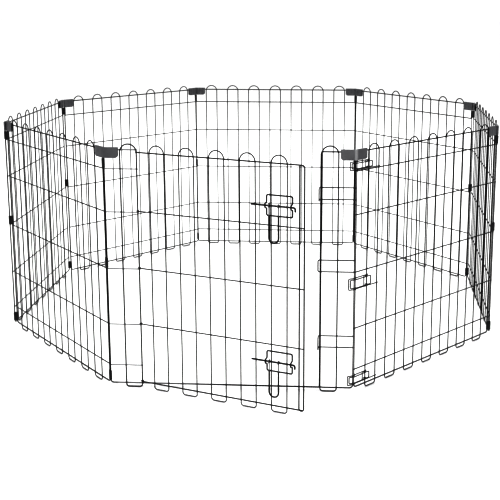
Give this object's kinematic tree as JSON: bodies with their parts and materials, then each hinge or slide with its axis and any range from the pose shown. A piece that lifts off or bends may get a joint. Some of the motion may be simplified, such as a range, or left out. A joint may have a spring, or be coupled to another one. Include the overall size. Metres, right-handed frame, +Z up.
{
  "type": "folding wire pet playpen",
  "caption": "Folding ring of welded wire panels for small animals, with a swing door, slide bolts, corner caps and end clasps.",
  "frame": {"origin": "on the ground under the centre of the bounding box, with the ring drawn out and the door a little open", "axes": "+X to the right along the front panel seen from outside, +Y from the front panel to the back panel, +Z up"},
  "size_m": [1.3962, 1.7385, 0.6137],
  "materials": {
    "coated_wire": "satin black electro-coat over round steel wire",
    "corner_plastic": "fine-grained moulded plastic",
    "fittings": "satin black electro-coat over formed steel"
  },
  "bodies": {
    "gate": {"gate_frame": "coated_wire", "corner_1_leaf_a": "corner_plastic", "corner_8_leaf_b": "corner_plastic", "hinge_sleeve_1_top": "fittings", "hinge_sleeve_1_mid": "fittings", "hinge_sleeve_1_low": "fittings"},
    "wing_1": {"panel_1": "coated_wire", "corner_1_leaf_b": "corner_plastic", "corner_2_leaf_a": "corner_plastic", "hinge_sleeve_2_top": "fittings", "hinge_sleeve_2_mid": "fittings", "hinge_sleeve_2_low": "fittings"},
    "wing_2": {"panel_2": "coated_wire", "corner_2_leaf_b": "corner_plastic", "corner_3_leaf_a": "corner_plastic", "hinge_sleeve_3_top": "fittings", "hinge_sleeve_3_mid": "fittings", "hinge_sleeve_3_low": "fittings"},
    "wing_3": {"panel_3": "coated_wire", "corner_3_leaf_b": "corner_plastic", "corner_4_leaf_a": "corner_plastic", "hinge_sleeve_4_top": "fittings", "hinge_sleeve_4_mid": "fittings", "hinge_sleeve_4_low": "fittings"},
    "wing_4": {"panel_4": "coated_wire", "corner_4_leaf_b": "corner_plastic", "corner_5_leaf_a": "corner_plastic", "hinge_sleeve_5_top": "fittings", "hinge_sleeve_5_mid": "fittings", "hinge_sleeve_5_low": "fittings"},
    "wing_5": {"panel_5": "coated_wire", "corner_5_leaf_b": "corner_plastic", "corner_6_leaf_a": "corner_plastic", "hinge_sleeve_6_top": "fittings", "hinge_sleeve_6_mid": "fittings", "hinge_sleeve_6_low": "fittings"},
    "wing_6": {"panel_6": "coated_wire", "corner_6_leaf_b": "corner_plastic", "corner_7_leaf_a": "corner_plastic", "hinge_sleeve_7_top": "fittings", "hinge_sleeve_7_mid": "fittings", "hinge_sleeve_7_low": "fittings"},
    "wing_7": {"panel_7": "coated_wire", "corner_7_leaf_b": "corner_plastic", "corner_8_leaf_a": "corner_plastic"},
    "door": {"door": "coated_wire"},
    "bolt_top": {"latch_bolt_top": "fittings"},
    "handle_top": {"latch_handle_top": "fittings"},
    "bolt_low": {"latch_bolt_low": "fittings"},
    "handle_low": {"latch_handle_low": "fittings"},
    "clasp_top": {"end_clasp_top": "fittings"},
    "clasp_mid": {"end_clasp_mid": "fittings"},
    "clasp_low": {"end_clasp_low": "fittings"}
  },
  "joints": [
    {"name": "fold_1", "type": "hinge", "parent": "gate", "child": "wing_1", "pos_m": [-0.30533, -0.68635, 0.3], "axis": [0, 0, -1], "range_deg": [0, 117.2]},
    {"name": "fold_2", "type": "hinge", "parent": "wing_1", "child": "wing_2", "pos_m": [-0.6943, -0.21918, 0.3], "axis": [0, 0, -1], "range_deg": [-208.18, 0]},
    {"name": "fold_3", "type": "hinge", "parent": "wing_2", "child": "wing_3", "pos_m": [-0.68301, 0.38862, 0.3], "axis": [0, 0, -1], "range_deg": [0, 129.78]},
    {"name": "fold_4", "type": "hinge", "parent": "wing_3", "child": "wing_4", "pos_m": [-0.30288, 0.86388, 0.3], "axis": [0, 0, -1], "range_deg": [-219.32, 0]},
    {"name": "fold_5", "type": "hinge", "parent": "wing_4", "child": "wing_5", "pos_m": [0.30499, 0.85754, 0.3], "axis": [0, 0, -1], "range_deg": [0, 117.72]},
    {"name": "fold_6", "type": "hinge", "parent": "wing_5", "child": "wing_6", "pos_m": [0.69396, 0.39036, 0.3], "axis": [0, 0, -1], "range_deg": [-207.7, 0]},
    {"name": "fold_7", "type": "hinge", "parent": "wing_6", "child": "wing_7", "pos_m": [0.6878, -0.21751, 0.3], "axis": [0, 0, -1], "range_deg": [0, 129.3]},
    {"name": "door_swing", "type": "hinge", "parent": "gate", "child": "door", "pos_m": [-0.22179, -0.69512, 0.3], "axis": [0, 0, -1], "range_deg": [-22, 125]},
    {"name": "bolt_top_slide", "type": "slide", "parent": "door", "child": "bolt_top", "axis": [0.9272, -0.3746, 0], "range_m": [0, 0.025]},
    {"name": "handle_top_swing", "type": "hinge", "parent": "bolt_top", "child": "handle_top", "pos_m": [0.10768, -0.84334, 0.498], "axis": [-0.9272, 0.3746, 0], "range_deg": [0, 95]},
    {"name": "bolt_low_slide", "type": "slide", "parent": "door", "child": "bolt_low", "axis": [0.9272, -0.3746, 0], "range_m": [0, 0.025]},
    {"name": "handle_low_swing", "type": "hinge", "parent": "bolt_low", "child": "handle_low", "pos_m": [0.10768, -0.84334, 0.128], "axis": [-0.9272, 0.3746, 0], "range_deg": [0, 95]},
    {"name": "clasp_top_swing", "type": "hinge", "parent": "wing_7", "child": "clasp_top", "pos_m": [0.33293, -0.65675, 0.5665], "axis": [0, 0, 1], "range_deg": [0, 100]},
    {"name": "clasp_mid_swing", "type": "hinge", "parent": "wing_7", "child": "clasp_mid", "pos_m": [0.33293, -0.65675, 0.2775], "axis": [0, 0, 1], "range_deg": [0, 100]},
    {"name": "clasp_low_swing", "type": "hinge", "parent": "wing_7", "child": "clasp_low", "pos_m": [0.33293, -0.65675, 0.032], "axis": [0, 0, 1], "range_deg": [0, 100]}
  ],
  "couplings": [
    {"joint": "fold_2", "follows": "fold_1", "ratio": -1.772},
    {"joint": "fold_3", "follows": "fold_1", "ratio": 1.1031},
    {"joint": "fold_4", "follows": "fold_1", "ratio": -1.867},
    {"joint": "fold_5", "follows": "fold_1", "ratio": 1.0001},
    {"joint": "fold_6", "follows": "fold_1", "ratio": -1.7679},
    {"joint": "fold_7", "follows": "fold_1", "ratio": 1.099}
  ]
}
